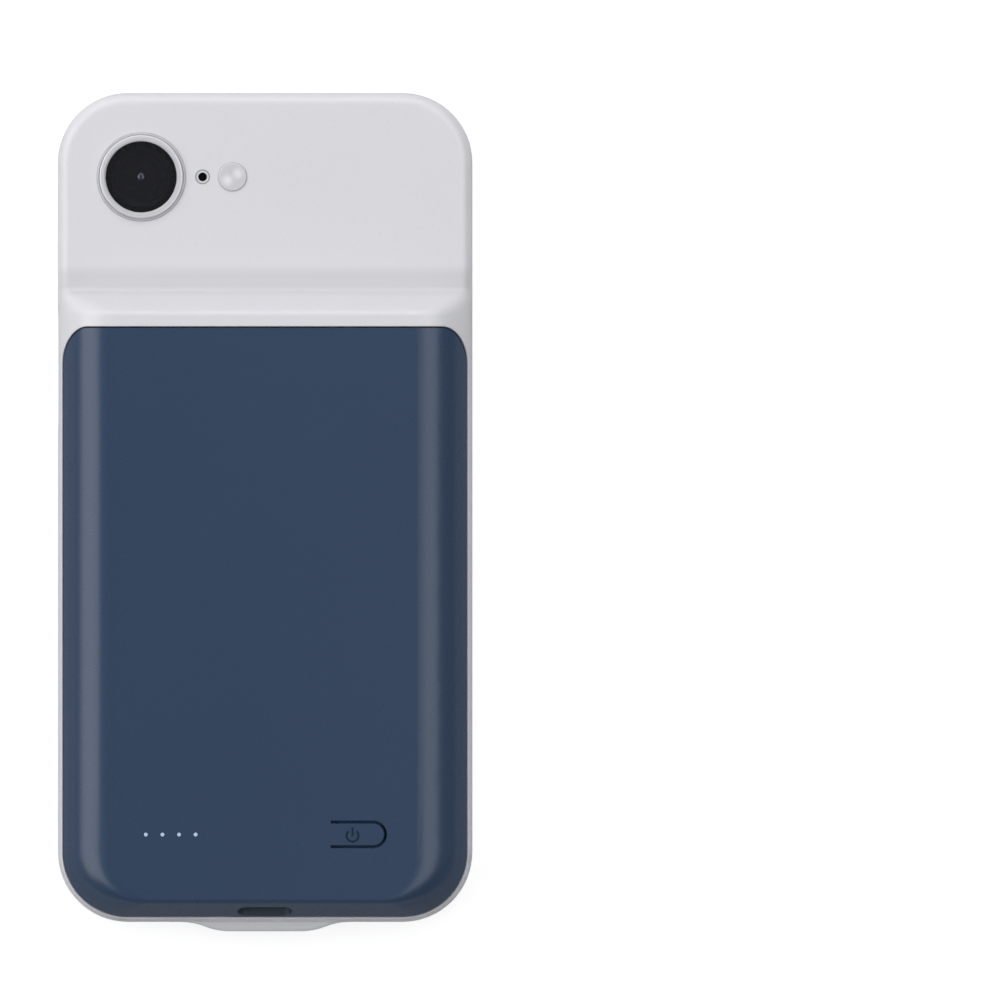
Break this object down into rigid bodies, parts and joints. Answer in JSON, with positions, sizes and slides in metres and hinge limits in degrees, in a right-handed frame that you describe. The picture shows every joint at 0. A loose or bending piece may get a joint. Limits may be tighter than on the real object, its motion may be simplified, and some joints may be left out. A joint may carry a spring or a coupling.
{
  "type": "battery charging case",
  "caption": "Slim phone case with a raised battery back, ramp to a thin camera panel, charge lights, power button, bottom charging port and a plug inside for the phone.",
  "frame": {"origin": "middle of the bounding box in plan, on the plane of the front rim that the case lies on", "axes": "+X right as seen from the back, +Y towards the camera end, +Z out of the back"},
  "size_m": [0.075, 0.1518, 0.0169],
  "materials": {
    "frame_plastic": "satin",
    "cover_plastic": "satin",
    "plate_plastic": "matt",
    "bezel_metal": "polished",
    "seal_rubber": "matt",
    "dark_glass": "gloss",
    "lens_plastic": "clear",
    "guide_plastic": "clear",
    "pouch_foil": "satin",
    "circuit_board": "satin",
    "foam": "matt",
    "steel": "satin",
    "black_plastic": "matt",
    "ferrite": "matt",
    "ribbon_film": "satin",
    "tape": "matt",
    "red_insulation": "satin",
    "black_insulation": "satin",
    "lamp_resin": "clear",
    "ceramic": "matt"
  },
  "bodies": {
    "case": {"battery_cell": "pouch_foil", "battery_cover": "cover_plastic", "boost_chip": "black_plastic", "button_seal": "seal_rubber", "camera_bezel": "bezel_metal", "camera_window": "dark_glass", "cell_foam": "foam", "cell_tape_left": "tape", "cell_tape_right": "tape", "charge_chip": "black_plastic", "filter_capacitor_1": "ceramic", "filter_capacitor_2": "ceramic", "filter_capacitor_3": "ceramic", "flash_window": "lens_plastic", "frame_shell": "frame_plastic", "indicator_lamp_1": "lamp_resin", "indicator_lamp_2": "lamp_resin", "indicator_lamp_3": "lamp_resin", "indicator_lamp_4": "lamp_resin", "inner_plate": "plate_plastic", "lead_negative": "black_insulation", "lead_positive": "red_insulation", "light_guide": "guide_plastic", "main_board": "circuit_board", "microphone_eyelet": "frame_plastic", "plug_board": "circuit_board", "plug_liner": "black_plastic", "plug_ribbon": "ribbon_film", "plug_shell": "steel", "port_liner": "seal_rubber", "power_inductor": "ferrite", "protection_board": "circuit_board", "switch_body": "steel", "usb_port_shell": "steel", "usb_port_tongue": "black_plastic"},
    "button": {"power_button": "cover_plastic", "switch_plunger": "black_plastic"}
  },
  "joints": [
    {"name": "button_press", "type": "hinge", "parent": "case", "child": "button", "pos_m": [0.0119, -0.05825, 0.01625], "axis": [0, 1, 0], "range_deg": [0, 2.1], "stiffness_Nm_per_rad": 0.3}
  ]
}
